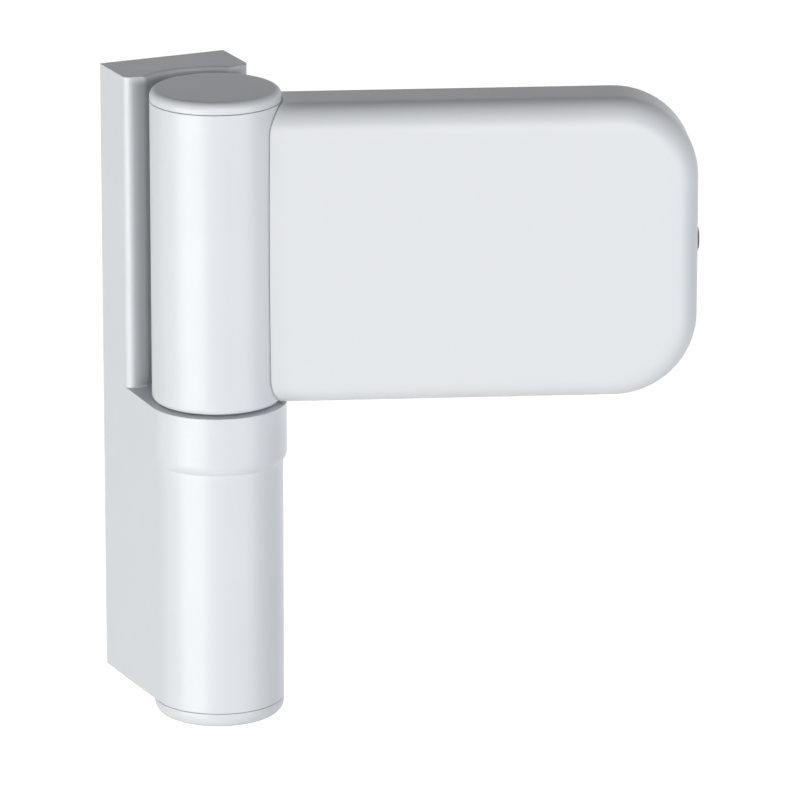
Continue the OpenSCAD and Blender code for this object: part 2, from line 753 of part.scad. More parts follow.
// Groove profile along the guide of the base plate
module guide_walls() {
    inner_back = arm_half_h + slide_gap;
    lip = arm_front - guide_setback;
    slope = dovetail_in / arm_t;
    for (s = [-1, 1]) translate([plate_start, 0, leaf_mid]) rotate([90, 0, 90]) linear_extrude(plate_len)
        polygon([
            [-plate_front, s * inner_back], [plate_face, s * inner_back],
            [plate_face, s * guide_half], [-lip, s * guide_half],
            [-lip, s * (inner_back - slope * (lip - arm_back))],
            [-arm_back, s * inner_back]
        ]);
}

// Plate that is screwed to the door, with the dovetail guide and the spindle groove
module base_plate() {
    mid_x = plate_start + plate_len / 2;
    block_half = guide_half - guide_wall / 2;
    hole_r = door_hole_d / 2;
    hole_x = plate_len / 2 - door_rim_end - door_head_d / 2;
    hole_z = plate_h / 2 - door_rim_side - door_head_d / 2;
    color([0.6, 0.61, 0.63]) at_leaf() difference() {
        union() {
            translate([mid_x, plate_back, leaf_mid]) rotate([90, 0, 0])
                linear_extrude(plate_t) round_rect(plate_len, plate_h, plate_corner_r);
            translate([plate_start, -plate_front, leaf_mid - block_half])
                cube([plate_len, plate_front + plate_face + 1, 2 * block_half]);
            guide_walls();
        }
        translate([groove_start, -plate_front - cut, leaf_mid - groove_r])
            cube([plate_len, groove_deep + cut, 2 * groove_r]);
        translate([nut_start - slide_gap, -plate_front - cut, leaf_mid - nut_w / 2 - slide_gap])
            cube([nut_len + 2 * slide_gap, groove_deep + cut, nut_w + 2 * slide_gap]);
        for (sx = [-1, 1], sz = [-1, 1])
            translate([mid_x + sx * hole_x, 0, leaf_mid + sz * hole_z])
                rotate([-90, 0, 0]) {
                    translate([0, 0, -arm_front]) cylinder(r = hole_r, h = arm_front + plate_back + cut);
                    translate([0, 0, plate_face - cut]) cylinder(d = door_head_d, h = cut);
                    translate([0, 0, plate_face])
                        cylinder(d1 = door_head_d, d2 = door_hole_d, h = (door_head_d - door_hole_d) / 2);
                }
        for (s = [-1, 1]) translate([clamp_x, -plate_front - cut, leaf_mid + s * clamp_z]) rotate([-90, 0, 0])
            cylinder(r = clamp_d / 2 + fit, h = cut + plate_front + plate_back - clamp_floor);
    }
}

// Captive nut block of the spindle
module spindle_nut() {
    color([0.75, 0.62, 0.35]) at_leaf() difference() {
        translate([nut_start, -plate_front, leaf_mid - nut_w / 2])
            cube([nut_len, groove_deep, nut_w]);
        along_spindle(nut_start - cut) cylinder(r = spindle_d / 2, h = nut_len + 2 * cut);
    }
}

// Flat-headed screw that clamps the arm to the base plate
module clamp_screw(z) {
    head_back = arm_front - clamp_head_h;
    tip = plate_back - 2 * clamp_floor;
    socket_r = clamp_d * 0.3;
    floor_t = 0.3;
    color([0.5, 0.51, 0.53]) at_leaf() translate([clamp_x, 0, leaf_mid + z])
        rotate([-90, 0, 0]) difference() {
            union() {
                translate([0, 0, -arm_front]) cylinder(d = clamp_head_d, h = clamp_head_h);
                translate([0, 0, -head_back]) cylinder(d = clamp_d, h = head_back + tip);
            }
            translate([0, 0, -arm_front - cut])
                cylinder(r = socket_r, h = clamp_head_h + cut - floor_t, $fn = 6);
        }
}

module clamp_screw_upper() { clamp_screw(clamp_z); }
module clamp_screw_lower() { clamp_screw(-clamp_z); }

frame_body();
bottom_cap();
bush_ring_nut();
eccentric_bush();
pin_liner();
pin_foot_disc();
hinge_pin();
pin_top_disc();
height_screw();
leaf_carrier();
lower_knuckle_bush();
upper_knuckle_bush();
top_cap();
leaf_cover();
side_spindle();
spindle_clip();
base_plate();
spindle_nut();
clamp_screw_upper();
clamp_screw_lower();
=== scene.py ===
"""Looks of an adjustable door hinge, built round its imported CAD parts.

Lengths are in metres, in the frame of the CAD parts: x runs across the face of the door frame to the side
that the leaf points to, y goes back into the door frame, and z runs up along the hinge pin.
"""

import json
import math

import bmesh
import bpy
import numpy as np
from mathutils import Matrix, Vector

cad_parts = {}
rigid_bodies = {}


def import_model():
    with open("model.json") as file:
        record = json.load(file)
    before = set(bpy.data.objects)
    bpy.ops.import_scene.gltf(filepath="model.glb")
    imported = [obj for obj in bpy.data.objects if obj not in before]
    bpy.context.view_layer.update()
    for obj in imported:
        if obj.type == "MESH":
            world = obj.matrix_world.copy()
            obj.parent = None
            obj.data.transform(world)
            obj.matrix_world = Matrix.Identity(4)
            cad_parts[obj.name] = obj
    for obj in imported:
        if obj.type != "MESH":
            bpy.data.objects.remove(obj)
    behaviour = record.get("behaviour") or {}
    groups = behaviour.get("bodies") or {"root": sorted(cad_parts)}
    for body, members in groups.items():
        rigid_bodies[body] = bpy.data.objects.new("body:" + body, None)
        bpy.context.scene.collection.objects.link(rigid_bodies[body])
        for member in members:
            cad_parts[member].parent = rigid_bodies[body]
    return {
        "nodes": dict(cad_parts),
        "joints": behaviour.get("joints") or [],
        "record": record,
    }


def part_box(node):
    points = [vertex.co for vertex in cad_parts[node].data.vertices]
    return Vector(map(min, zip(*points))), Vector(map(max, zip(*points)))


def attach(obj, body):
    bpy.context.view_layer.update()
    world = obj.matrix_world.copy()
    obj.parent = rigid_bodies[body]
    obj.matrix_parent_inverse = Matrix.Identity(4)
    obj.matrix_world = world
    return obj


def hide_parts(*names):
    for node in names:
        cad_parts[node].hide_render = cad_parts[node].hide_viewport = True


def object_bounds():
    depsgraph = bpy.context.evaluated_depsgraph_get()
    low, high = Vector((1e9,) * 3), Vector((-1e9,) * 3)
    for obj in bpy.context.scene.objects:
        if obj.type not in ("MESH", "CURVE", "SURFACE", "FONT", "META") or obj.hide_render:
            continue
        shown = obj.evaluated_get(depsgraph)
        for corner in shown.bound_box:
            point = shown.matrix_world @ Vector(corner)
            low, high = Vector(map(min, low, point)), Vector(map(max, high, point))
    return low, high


bl_info = {
    "name": "Adjustable door hinge",
    "version": (1, 0, 0),
    "blender": (4, 5, 0),
    "location": "View3D > Sidebar > Hinge",
    "description": "Cover, caps, spindle, finishes and stage of a surface door hinge",
    "category": "Object",
}

for leftover in list(bpy.data.objects):
    bpy.data.objects.remove(leftover)
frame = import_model()
cad_box = [list(corner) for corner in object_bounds()]

MM = 0.001
JOINTS = {joint["name"]: joint for joint in frame["joints"]}
SLOTS = {part["node"]: part["material_slot"] for part in frame["record"]["subparts"]}
BARREL_AXIS = tuple(JOINTS["leaf_swing"]["pos_m"][:2])
BUSH_SHIFT = JOINTS["pressure_turn"]["pos_m"][0]
LEAF_LOW, LEAF_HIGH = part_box("leaf_cover")
TOP_LOW, TOP_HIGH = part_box("top_cap")
FOOT_LOW, FOOT_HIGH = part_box("bottom_cap")


# Values that a user would change --------------------------------------------------------------------------


def length(name, text, value):
    """A length that is shown in the scene's unit."""
    return bpy.props.FloatProperty(
        name=name, description=text, default=value, min=0, precision=5, unit="LENGTH", subtype="DISTANCE"
    )


def share(name, text, value):
    """A number between 0 and 1."""
    return bpy.props.FloatProperty(name=name, description=text, default=value, min=0, max=1, subtype="FACTOR")


def angle(name, text, degrees):
    """An angle, written in degrees."""
    turn = math.radians(degrees)
    return bpy.props.FloatProperty(name=name, description=text, default=turn, subtype="ANGLE")


def colour(name, text, value):
    """A linear colour."""
    return bpy.props.FloatVectorProperty(
        name=name, description=text, default=value, size=3, min=0, max=1, subtype="COLOR"
    )


def power(name, text, watts):
    """The power of a lamp."""
    return bpy.props.FloatProperty(name=name, description=text, default=watts, min=0, unit="POWER")


class HingeLeafSizes(bpy.types.PropertyGroup):
    """Sizes of the moulded cover, in the leaf's own frame."""

    open_angle: angle("Leaf angle", "Angle between the leaf and the face of the door frame", 20)
    middle: length("Middle height", "Height of the middle of the leaf", (LEAF_LOW.z + LEAF_HIGH.z) / 2)
    half: length("Half height", "Half the height of the cover", (LEAF_HIGH.z - LEAF_LOW.z) / 2)
    reach: length("Reach", "Distance of the far end from the barrel axis", 80.5 * MM)
    front: length("Front", "Distance of the front face from the barrel axis", 7.3 * MM)
    back: length("Back", "Distance of the rear rim behind the barrel axis", 4.7 * MM)
    corner: length("Corner", "Radius of the two free corners", 14 * MM)
    edge: length("Edge", "Radius of the rounded front edges", 4.8 * MM)
    wall: length("Wall", "Wall of the cover", 1.8 * MM)
    crown: length("Crown", "How far the face falls away towards its edges", 0.25 * MM)
    barrel_radius: length("Barrel radius", "Radius of the knuckle", 11 * MM)
    barrel_gap: length("Barrel gap", "Gap between the cover and the knuckle", 0.2 * MM)
    peg_radius: length("Peg radius", "Radius of the pegs that hold the cover", 1.7 * MM)
    peg_tip: length("Peg tip", "Distance of the peg tips from the barrel axis, to the front", 1.8 * MM)
    peg_near: length("Near pegs", "Distance of the near pegs from the barrel axis", 15.4 * MM)
    peg_near_rise: length("Near pegs' height", "Height of the near pegs over and under the middle", 8.8 * MM)
    peg_far: length("Far pegs", "Distance of the far pegs from the barrel axis", 67 * MM)
    peg_far_rise: length("Far pegs' height", "Height of the far pegs over and under the middle", 6.8 * MM)


class HingeCapSizes(bpy.types.PropertyGroup):
    """Sizes of the two push-in caps."""

    radius: length("Radius", "Radius of both caps", 11 * MM)
    seam: length("Seam", "Height of the seam under the rim", 0.1 * MM)
    top_edge: length("Top edge", "Radius of the top cap's rounded edge", 1.3 * MM)
    bottom_edge: length("Bottom edge", "Radius of the bottom cap's rounded edge", 2 * MM)
    plug_wall: length("Plug wall", "Wall of the plugs", 1.2 * MM)
    top_plug: length("Top plug", "Radius of the top cap's plug", 8 * MM)
    bottom_plug: length("Bottom plug", "Radius of the bottom cap's plug", 8.5 * MM)
    plug_height: length("Plug height", "Height of the plugs", 2.2 * MM)


class HingeSpindleSizes(bpy.types.PropertyGroup):
    """Sizes of the spindle that shifts the leaf sideways."""

    depth: length("Depth", "Distance of the spindle behind the barrel axis", 1.4 * MM)
    start: length("Start", "Distance of the thread's tip from the barrel axis", 46 * MM)
    crest: length("Thread radius", "Outer radius of the thread", 1.95 * MM)
    pitch: length("Pitch", "Advance of the thread in one turn", 1 * MM)
    thread_depth: length("Thread depth", "Depth of the thread", 0.42 * MM)
    groove: length("Groove", "Start of the groove for the spring clip", 73.1 * MM)
    shaft: length("Shaft radius", "Radius of the plain shaft in the lug", 2 * MM)
    collar: length("Collar", "Start of the thrust collar", 77.1 * MM)
    collar_radius: length("Collar radius", "Radius of the thrust collar", 3.2 * MM)
    head: length("Head", "Start of the head", 78.2 * MM)
    head_radius: length("Head radius", "Radius of the head", 2.9 * MM)
    dome: length("Dome", "Height of the domed end", 0.86 * MM)
    key: length("Key", "Width across the flats of the key socket", 3 * MM)
    key_depth: length("Key depth", "Depth of the key socket", 1.6 * MM)
    notch_gap: length("Notch gap", "Gap between the head and the notch in the cover", 0.2 * MM)


class HingeFinishes(bpy.types.PropertyGroup):
    """Colours and surface values of the finishes."""

    white: colour("White", "Coat of the metal parts", (0.775, 0.797, 0.828))
    cover_white: colour("Cover white", "Plastic of the cover", (0.787, 0.80, 0.822))
    cap_white: colour("Cap white", "Plastic of the caps", (0.765, 0.787, 0.815))
    bearing: colour("Bearing plastic", "Natural plastic of liner and bushes", (0.70, 0.68, 0.60))
    bright: colour("Bright steel", "Ground steel of the pin", (0.56, 0.57, 0.58))
    zinc: colour("Zinc", "Zinc plating of nuts and screws", (0.49, 0.50, 0.53))
    casting: colour("Casting", "Bare zinc casting of the door plate", (0.42, 0.43, 0.44))
    dark: colour("Dark steel", "Blackened steel of spindle and clip", (0.055, 0.057, 0.06))
    brass: colour("Brass", "Brass of the nut block", (0.70, 0.50, 0.22))
    coat_roughness: share("Coat roughness", "Roughness of the coat", 0.33)
    # Painted shade: the base colour in the channel behind the knuckle is darkened to this share.
    painted_channel_shade: share("Painted channel shade", "Brightness of the painted shade in the channel", 0.56)
    plastic_roughness: share("Plastic roughness", "Roughness of the white plastic", 0.33)
    edge_softness: length("Edge softness", "Radius that the coat gives sharp edges", 0.22 * MM)
    peel_size: length("Peel size", "Width of the coat's orange peel", 0.9 * MM)
    peel_depth: length("Peel depth", "Depth of the coat's orange peel", 0.0022 * MM)


class HingeStageValues(bpy.types.PropertyGroup):
    """Camera, lamps, light of the world and floor."""

    target: bpy.props.FloatVectorProperty(
        name="Target", description="Point that the camera looks at", default=(0.03135, -0.02806, -0.00253),
        size=3, unit="LENGTH", subtype="TRANSLATION",
    )
    distance: length("Distance", "Distance of the camera from its target", 1.3)
    turn: angle("Turn", "Turn of the view from straight at the door frame", 24.34)
    pitch: angle("Pitch", "Angle at which the camera looks down", 16.62)
    lens: bpy.props.FloatProperty(
        name="Lens", description="Focal length on a 36 mm wide sensor", default=346, unit="CAMERA"
    )
    side_lamp: power("Side lamp", "Power of the long lamp in front on the left", 9.5)
    front_lamp: power("Front lamp", "Power of the wide lamp in front", 2.25)
    right_lamp: power("Right lamp", "Power of the lamp on the right", 1.85)
    left_lamp: power("Left lamp", "Power of the weak lamp behind on the left", 0.9)
    back_lamp: power("Back lamp", "Power of the lamp behind on the right", 10)
    low_light: share("Low light", "Light of the world from just below the horizon", 0.39)
    floor_light: share("Floor light", "Light of the world from straight below", 0.12)
    high_light: share("High light", "Light of the world from above", 0.045)
    floor_size: length("Floor size", "Width of the floor", 5)
    floor_glow: share("Floor glow", "Brightness of the floor to the camera, without the lamps", 0.975)


# Surfaces -------------------------------------------------------------------------------------------------


# Steps of the cover's sheets: along its level lines, round a corner and down its end; then over its wall,
# its rounded edge and the rest of its face up to the core; and from the wall's borders in to the notch.
ALONG_STEPS, CORNER_STEPS, END_STEPS = 28, 16, 20
WALL_STEPS, EDGE_STEPS, FACE_STEPS = 6, 12, 8
NOTCH_STEPS = 6


def place_object(name, data):
    """A new object in the scene, at the origin."""
    made = bpy.data.objects.new(name, data)
    bpy.context.scene.collection.objects.link(made)
    return made


def grid_faces(rows, columns, start=0):
    """Corners of the faces between neighbouring points of a grid, whose points count on from the start."""
    index = start + np.arange(rows * columns).reshape(rows, columns)
    corners = (index[:-1, :-1], index[1:, :-1], index[1:, 1:], index[:-1, 1:])
    return np.stack(corners, axis=-1).reshape(-1, 4)


def skin(name, patches, sharp=35):
    """One closed mesh from patches. Each patch is a grid of points over two parameters, and points of two
    patches that fall together become one. Bends above the sharp angle stay crisp."""
    same_place, no_length = 2e-6, 1e-7
    faces, start = [], 0
    for patch in patches:
        rows, columns = patch.shape[:2]
        faces.append(grid_faces(rows, columns, start))
        start += rows * columns
    points = np.concatenate([patch.reshape(-1, 3) for patch in patches])
    mesh = bpy.data.meshes.new(name)
    mesh.from_pydata(points.tolist(), [], np.concatenate(faces).tolist())
    work = bmesh.new()
    work.from_mesh(mesh)
    bmesh.ops.remove_doubles(work, verts=work.verts, dist=same_place)
    bmesh.ops.dissolve_degenerate(work, edges=work.edges, dist=no_length)
    if any(not edge.is_manifold for edge in work.edges):
        raise RuntimeError(f"the surface of {name} isn't closed")
    bmesh.ops.recalc_face_normals(work, faces=work.faces)
    work.to_mesh(mesh)
    work.free()
    mesh.polygons.foreach_set("use_smooth", np.ones(len(mesh.polygons), bool))
    mesh.set_sharp_from_angle(angle=math.radians(sharp))
    return place_object(name, mesh)


def arc(centre, radius, start, end, steps):
    """Points of an arc in a plane: centre + radius * (cos turn, sin turn), from start to end in degrees."""
    turn = np.radians(np.linspace(start, end, steps + 1))
    return np.stack([centre[0] + radius * np.cos(turn), centre[1] + radius * np.sin(turn)], axis=-1)


def turned(profile, steps, centre=(0.0, 0.0)):
    """A profile of (radius, height) points carried once round the z axis through the centre:
    x = centre + radius * cos turn, y = centre + radius * sin turn, z = height."""
    turn = np.linspace(0, 2 * np.pi, steps + 1)[:, None]
    radius, height = np.asarray(profile, float).T
    return np.stack(
        [centre[0] + radius * np.cos(turn), centre[1] + radius * np.sin(turn), height + 0 * turn], axis=-1
    )


def bridge(one, other, steps=1):
    """Straight lines between two rows of points, over the place in the row and the way across."""
    way = np.linspace(0, 1, steps + 1)[:, None, None]
    return (1 - way) * one[None] + way * other[None]


def leaf_points(points, sizes):
    """Turns points of the leaf's own frame by the leaf's angle about the barrel axis. There x runs out along
    the leaf, y towards the door, and z up from the middle of the leaf."""
    x, y, z = np.moveaxis(points, -1, 0)
    cosine, sine = math.cos(sizes.open_angle), math.sin(sizes.open_angle)
    across = BARREL_AXIS[0] + x * cosine + y * sine
    back = BARREL_AXIS[1] - x * sine + y * cosine
    return np.stack([across, back, z + sizes.middle], axis=-1)


def cover_sheet(sizes, inset):
    """Outer or inner sheet of the cover, as two patches: a band round it and the middle of its face.

    The outline has a core: two level lines and an upright one, a corner radius inside the top, bottom and
    end. Every outline point is core + outward direction * (corner radius - sunk). From the rear rim the
    sheet runs forward along the wall at sunk = inset, round a quarter arc, and over the face until it meets
    the core. The second patch fills the face between the core's lines. The face lies at -front + crown *
    fall, where fall = 1 - (1 - (z / half)^2) * (1 - (x / reach)^6), and the arc's height shrinks by as much.
    At the knuckle each line ends at x = sqrt(r^2 - y^2), on a cylinder r just outside the knuckle."""
    around = sizes.barrel_radius + sizes.barrel_gap
    square = sizes.reach - sizes.corner
    level = sizes.half - sizes.corner
    arc_radius = sizes.edge - inset
    face = -(sizes.front - inset)

    def fall(x, z):
        """Share of the crown by which the face falls away."""
        return 1 - (1 - (z / sizes.half) ** 2) * (1 - (x / sizes.reach) ** 6)

    def from_knuckle(x, y):
        """Moves the start of each line along the leaf on to the cylinder round the knuckle."""
        start = np.sqrt(around**2 - y**2)
        return np.where(x < square, start + x / square * (square - start), x)

    along = np.linspace(0, 1, ALONG_STEPS + 1) * square
    corner_turn = np.linspace(0, np.pi / 2, CORNER_STEPS + 1)[1:]
    upright = np.linspace(level, -level, END_STEPS + 1)
    core_x = np.concatenate([along, np.full(CORNER_STEPS + END_STEPS + CORNER_STEPS, square), along[-2::-1]])
    core_z = np.concatenate([
        np.full(ALONG_STEPS + 1 + CORNER_STEPS, level), upright[1:],
        np.full(CORNER_STEPS + ALONG_STEPS, -level),
    ])
    out = np.concatenate([
        np.full(ALONG_STEPS + 1, np.pi / 2), np.pi / 2 - corner_turn, np.zeros(END_STEPS),
        -corner_turn, np.full(ALONG_STEPS, -np.pi / 2),
    ])
    bend_start = -(sizes.front - sizes.edge)
    wall_y = np.linspace(sizes.back, bend_start, WALL_STEPS + 1)[:-1]
    bend = np.radians(np.linspace(0, 90, EDGE_STEPS + 1))
    on_face = np.linspace(sizes.edge, sizes.corner, FACE_STEPS + 1)[1:]
    sunk = np.concatenate([np.full(WALL_STEPS, inset), inset + arc_radius * (1 - np.cos(bend)), on_face])
    lift = np.concatenate([np.zeros(WALL_STEPS), np.sin(bend), np.ones(FACE_STEPS)])
    base_y = np.concatenate([wall_y, bend_start - arc_radius * np.sin(bend), np.full(FACE_STEPS, face)])

    reach = sizes.corner - sunk
    x = core_x[:, None] + np.cos(out)[:, None] * reach
    z = core_z[:, None] + np.sin(out)[:, None] * reach
    y = base_y + sizes.crown * lift * fall(x, z)
    band = np.stack([from_knuckle(x, y), y, z], axis=-1)

    z = upright[None] + 0 * along[:, None]
    x = along[:, None] + 0 * z
    y = face + sizes.crown * fall(x, z)
    middle = np.stack([from_knuckle(x, y), y, z], axis=-1)
    return band, middle


def make_cover(sizes, spindle):
    """The moulded cover: an outer and an inner sheet, joined along the rear rim and at the knuckle.

    The end wall has a notch for the spindle's head. Straight lines run from the front border of the wall to
    a half circle round the spindle, and from its two upright borders to the level lips between half circle
    and rear rim. Each peg is a section, radius over depth, turned about a line from front to back."""
    first = ALONG_STEPS + CORNER_STEPS
    last = first + END_STEPS
    radius = spindle.head_radius + spindle.notch_gap
    to_rim = np.linspace(1, 0, WALL_STEPS + 1)[:, None] * np.array([0, sizes.back - spindle.depth, 0])
    patches, borders = [], []
    for inset in (0, sizes.wall):
        band, middle = cover_sheet(sizes, inset)
        front = band[first : last + 1, WALL_STEPS]
        turn = np.radians(np.linspace(0, 180, len(front)))
        end_x = np.full(len(front), band[first, 0, 0])
        circle = np.stack([end_x, spindle.depth - radius * np.sin(turn), radius * np.cos(turn)], axis=-1)
        patches += [middle, band[: first + 1], band[last:], band[first : last + 1, WALL_STEPS:]]
        patches.append(bridge(front, circle, NOTCH_STEPS))
        lips, rims = [], []
        for row, place in ((first, 0), (last, -1)):
            lips.append(circle[place] + to_rim)
            patches.append(bridge(band[row, : WALL_STEPS + 1], lips[-1], NOTCH_STEPS))
            rims.append(patches[-1][:, 0])
        notch = np.concatenate([lips[0], circle[1:-1], lips[1][::-1]])
        rear_above = np.concatenate([band[: first + 1, 0], rims[0][1:]])
        rear_below = np.concatenate([rims[1][::-1], band[last + 1 :, 0]])
        borders.append([notch, rear_above, rear_below, band[0], band[-1], middle[0]])
    patches += [bridge(one, other) for one, other in zip(*borders)]

    tip, face = -sizes.peg_tip, -(sizes.front - sizes.wall)
    radius, bevel, fillet, root = sizes.peg_radius, 0.4 * MM, 0.5 * MM, 0.2 * MM
    section = np.concatenate([
        [[0, tip], [radius - bevel, tip], [radius, tip - bevel], [radius, face + fillet]],
        arc((radius + fillet, face + fillet), fillet, 180, 270, 4),
        [[radius + fillet, face - root], [0, face - root]],
    ])
    peg = turned(section, 32)
    for x, rise in ((sizes.peg_near, sizes.peg_near_rise), (sizes.peg_far, sizes.peg_far_rise)):
        for z in (rise, -rise):
            patches.append(np.stack([peg[..., 0] + x, peg[..., 2], peg[..., 1] + z], axis=-1))
    return skin("cover", [leaf_points(patch, sizes) for patch in patches])


def make_cap(name, sizes, base, height, edge, plug_radius, plug_centre, up):
    """A push-in cap: a disc and its plug, each a section turned about its own axis. The disc's section runs
    out under the rim, round a small lip at the seam, up the side, round the soft edge and to the axis."""
    radius, lip = sizes.radius, 0.1 * MM
    disc = np.concatenate([
        [[0, 0], [radius - edge, 0], [radius - edge, sizes.seam]],
        arc((radius - lip, sizes.seam + lip), lip, -90, 0, 4),
        arc((radius - edge, height - edge), edge, 0, 90, 14),
        [[radius / 2, height], [0, height]],
    ])
    inner, tip, bevel = plug_radius - sizes.plug_wall, -sizes.plug_height, 0.35 * MM
    plug = [
        [inner, tip], [plug_radius - bevel, tip], [plug_radius, tip + bevel], [plug_radius, sizes.seam / 2],
        [inner, sizes.seam / 2], [inner, tip],
    ]
    patches = [turned(disc, 128, BARREL_AXIS), turned(plug, 96, plug_centre)]
    for patch in patches:
        patch[..., 2] = base + up * patch[..., 2]
    return skin(name, patches)


def make_spindle(sizes, leaf):
    """The spindle, one surface over the turn and the way along it.

    The thread's radius is crest - depth * groove, where groove is a blunt triangle of the fraction of
    (x / pitch - turn / full turn). It fades out towards the shaft, and a cone cuts it at the tip. Groove for
    the clip, plain shaft, thrust collar and head are a section turned about the axis. The key socket's
    radius over the turn is that of a hexagon: half its width across flats / cos(turn, taken from the middle
    of the nearest flat)."""
    turn = np.linspace(0, 2 * np.pi, 97)[:, None]
    spread = np.ones_like(turn)

    margin, fade_length, cone_length, cone_depth = 0.5 * MM, 1.2 * MM, 1.1 * MM, 0.75 * MM
    end = sizes.groove - margin
    x = np.linspace(sizes.start + margin, end, 421)[None]
    saw = np.abs(2 * ((x / sizes.pitch - turn / (2 * np.pi)) % 1) - 1)
    fade = np.clip((end - x) / fade_length, 0, 1)
    thread = sizes.crest - sizes.thread_depth * fade * np.clip(1.35 * saw - 0.2, 0, 1)
    cone = np.clip((x - sizes.start) / cone_length, 0, 1)
    thread = np.minimum(thread, sizes.crest - cone_depth * (1 - cone))

    tip = np.array([[0, sizes.start], [sizes.crest - 0.8 * MM, sizes.start]])
    low, edge = sizes.crest - 0.35 * MM, 0.15 * MM
    groove_end, shaft_start = sizes.groove + 0.8 * MM, sizes.groove + 0.9 * MM
    shaft = np.concatenate([
        [[sizes.crest, sizes.groove], [low, sizes.groove], [low, groove_end], [sizes.crest, groove_end]],
        [[sizes.shaft, shaft_start], [sizes.shaft, sizes.collar]],
        arc((sizes.collar_radius - edge, sizes.collar + edge), edge, -90, 0, 3),
        arc((sizes.collar_radius - edge, sizes.head - edge), edge, 0, 90, 3),
        [[sizes.head_radius, sizes.head], [sizes.head_radius, leaf.reach - 0.1 * MM]],
    ])
    rise = sizes.dome
    curve = (sizes.head_radius**2 + rise**2) / (2 * rise)

    def domed(radius):
        """Distance of the domed end from the barrel axis, over the radius."""
        return leaf.reach + rise - curve + np.sqrt(curve**2 - radius**2)

    key_corner = sizes.key / 2 / math.cos(math.pi / 6)
    ring = np.linspace(sizes.head_radius - 0.06 * MM, key_corner + 0.25 * MM, 9)
    plain = np.concatenate([shaft, np.stack([ring, domed(ring)], axis=-1)])

    flat = (turn + np.pi / 6) % (np.pi / 3) - np.pi / 6
    hexagon = sizes.key / 2 / np.cos(flat)
    chamfer = np.maximum(hexagon, key_corner + 0.02 * MM)
    mouth = domed(chamfer)
    floor = (leaf.reach - sizes.key_depth) * spread
    socket_radius = np.concatenate([chamfer, hexagon, hexagon, hexagon * 0.5, 0 * hexagon], axis=1)
    socket_x = np.concatenate(
        [mouth, mouth - (chamfer - hexagon) - 0.05 * MM, floor, floor - 0.3 * MM, floor - 0.5 * MM], axis=1
    )
    radius = np.concatenate([spread * tip[:, 0], thread, spread * plain[:, 0], socket_radius], axis=1)
    along = np.concatenate([spread * tip[:, 1], spread * x, spread * plain[:, 1], socket_x], axis=1)
    points = np.stack([along, sizes.depth + radius * np.cos(turn), radius * np.sin(turn)], axis=-1)
    return skin("spindle", [leaf_points(points, leaf)], sharp=40)


# Shader groups --------------------------------------------------------------------------------------------


EFFECTS = {
    "relief": "fine relief", "edges": "soft edges", "handling": "handling", "turned": "turned marks",
    "cast": "cast skin",
}


def node(tree, kind, inputs=None, **settings):
    """Adds a node, makes its settings and fills its inputs with values or with outputs of other nodes."""
    made = tree.nodes.new(kind)
    for name, value in settings.items():
        setattr(made, name, value)
    for name, value in (inputs or {}).items():
        if isinstance(value, bpy.types.NodeSocket):
            tree.links.new(value, made.inputs[name])
        else:
            made.inputs[name].default_value = value
    return made


def maths(tree, operation, *values, clamp=False):
    """A Math node's result."""
    inputs = dict(enumerate(values))
    return node(tree, "ShaderNodeMath", inputs, operation=operation, use_clamp=clamp).outputs[0]


def vector_maths(tree, operation, *values, out="Vector"):
    """A Vector Math node's result."""
    return node(tree, "ShaderNodeVectorMath", dict(enumerate(values)), operation=operation).outputs[out]


def remap(tree, value, low=0.0, high=1.0, to_low=0.0, to_high=1.0, **settings):
    """A Map Range node's result."""
    inputs = {"Value": value, "From Min": low, "From Max": high, "To Min": to_low, "To Max": to_high}
    return node(tree, "ShaderNodeMapRange", inputs, **settings).outputs["Result"]


def mix_colours(tree, factor, one, other):
    """A Mix node's colour."""
    return node(tree, "ShaderNodeMix", {0: factor, 6: one, 7: other}, data_type="RGBA").outputs[2]


def coordinates(tree, kind="Object"):
    """Object coordinates, or as Generated the direction in the world."""
    return node(tree, "ShaderNodeTexCoord").outputs[kind]


def group(name, inputs, outputs):
    """A new shader group with named float inputs (name: default) and outputs (name: kind)."""
    tree = bpy.data.node_groups.new(name, "ShaderNodeTree")
    for label, default in inputs.items():
        socket = tree.interface.new_socket(label, in_out="INPUT", socket_type="NodeSocketFloat")
        socket.default_value = default
    for label, kind in outputs.items():
        tree.interface.new_socket(label, in_out="OUTPUT", socket_type="NodeSocket" + kind)
    return tree, tree.nodes.new("NodeGroupInput").outputs, tree.nodes.new("NodeGroupOutput").inputs


def noise(tree, place, size, detail=2.0, rough=0.5):
    """A noise value on object coordinates, whose grain is about the given width."""
    scale = maths(tree, "DIVIDE", 1.0, size)
    inputs = {"Vector": place, "Scale": scale, "Detail": detail, "Roughness": rough}
    return node(tree, "ShaderNodeTexNoise", inputs).outputs["Fac"]


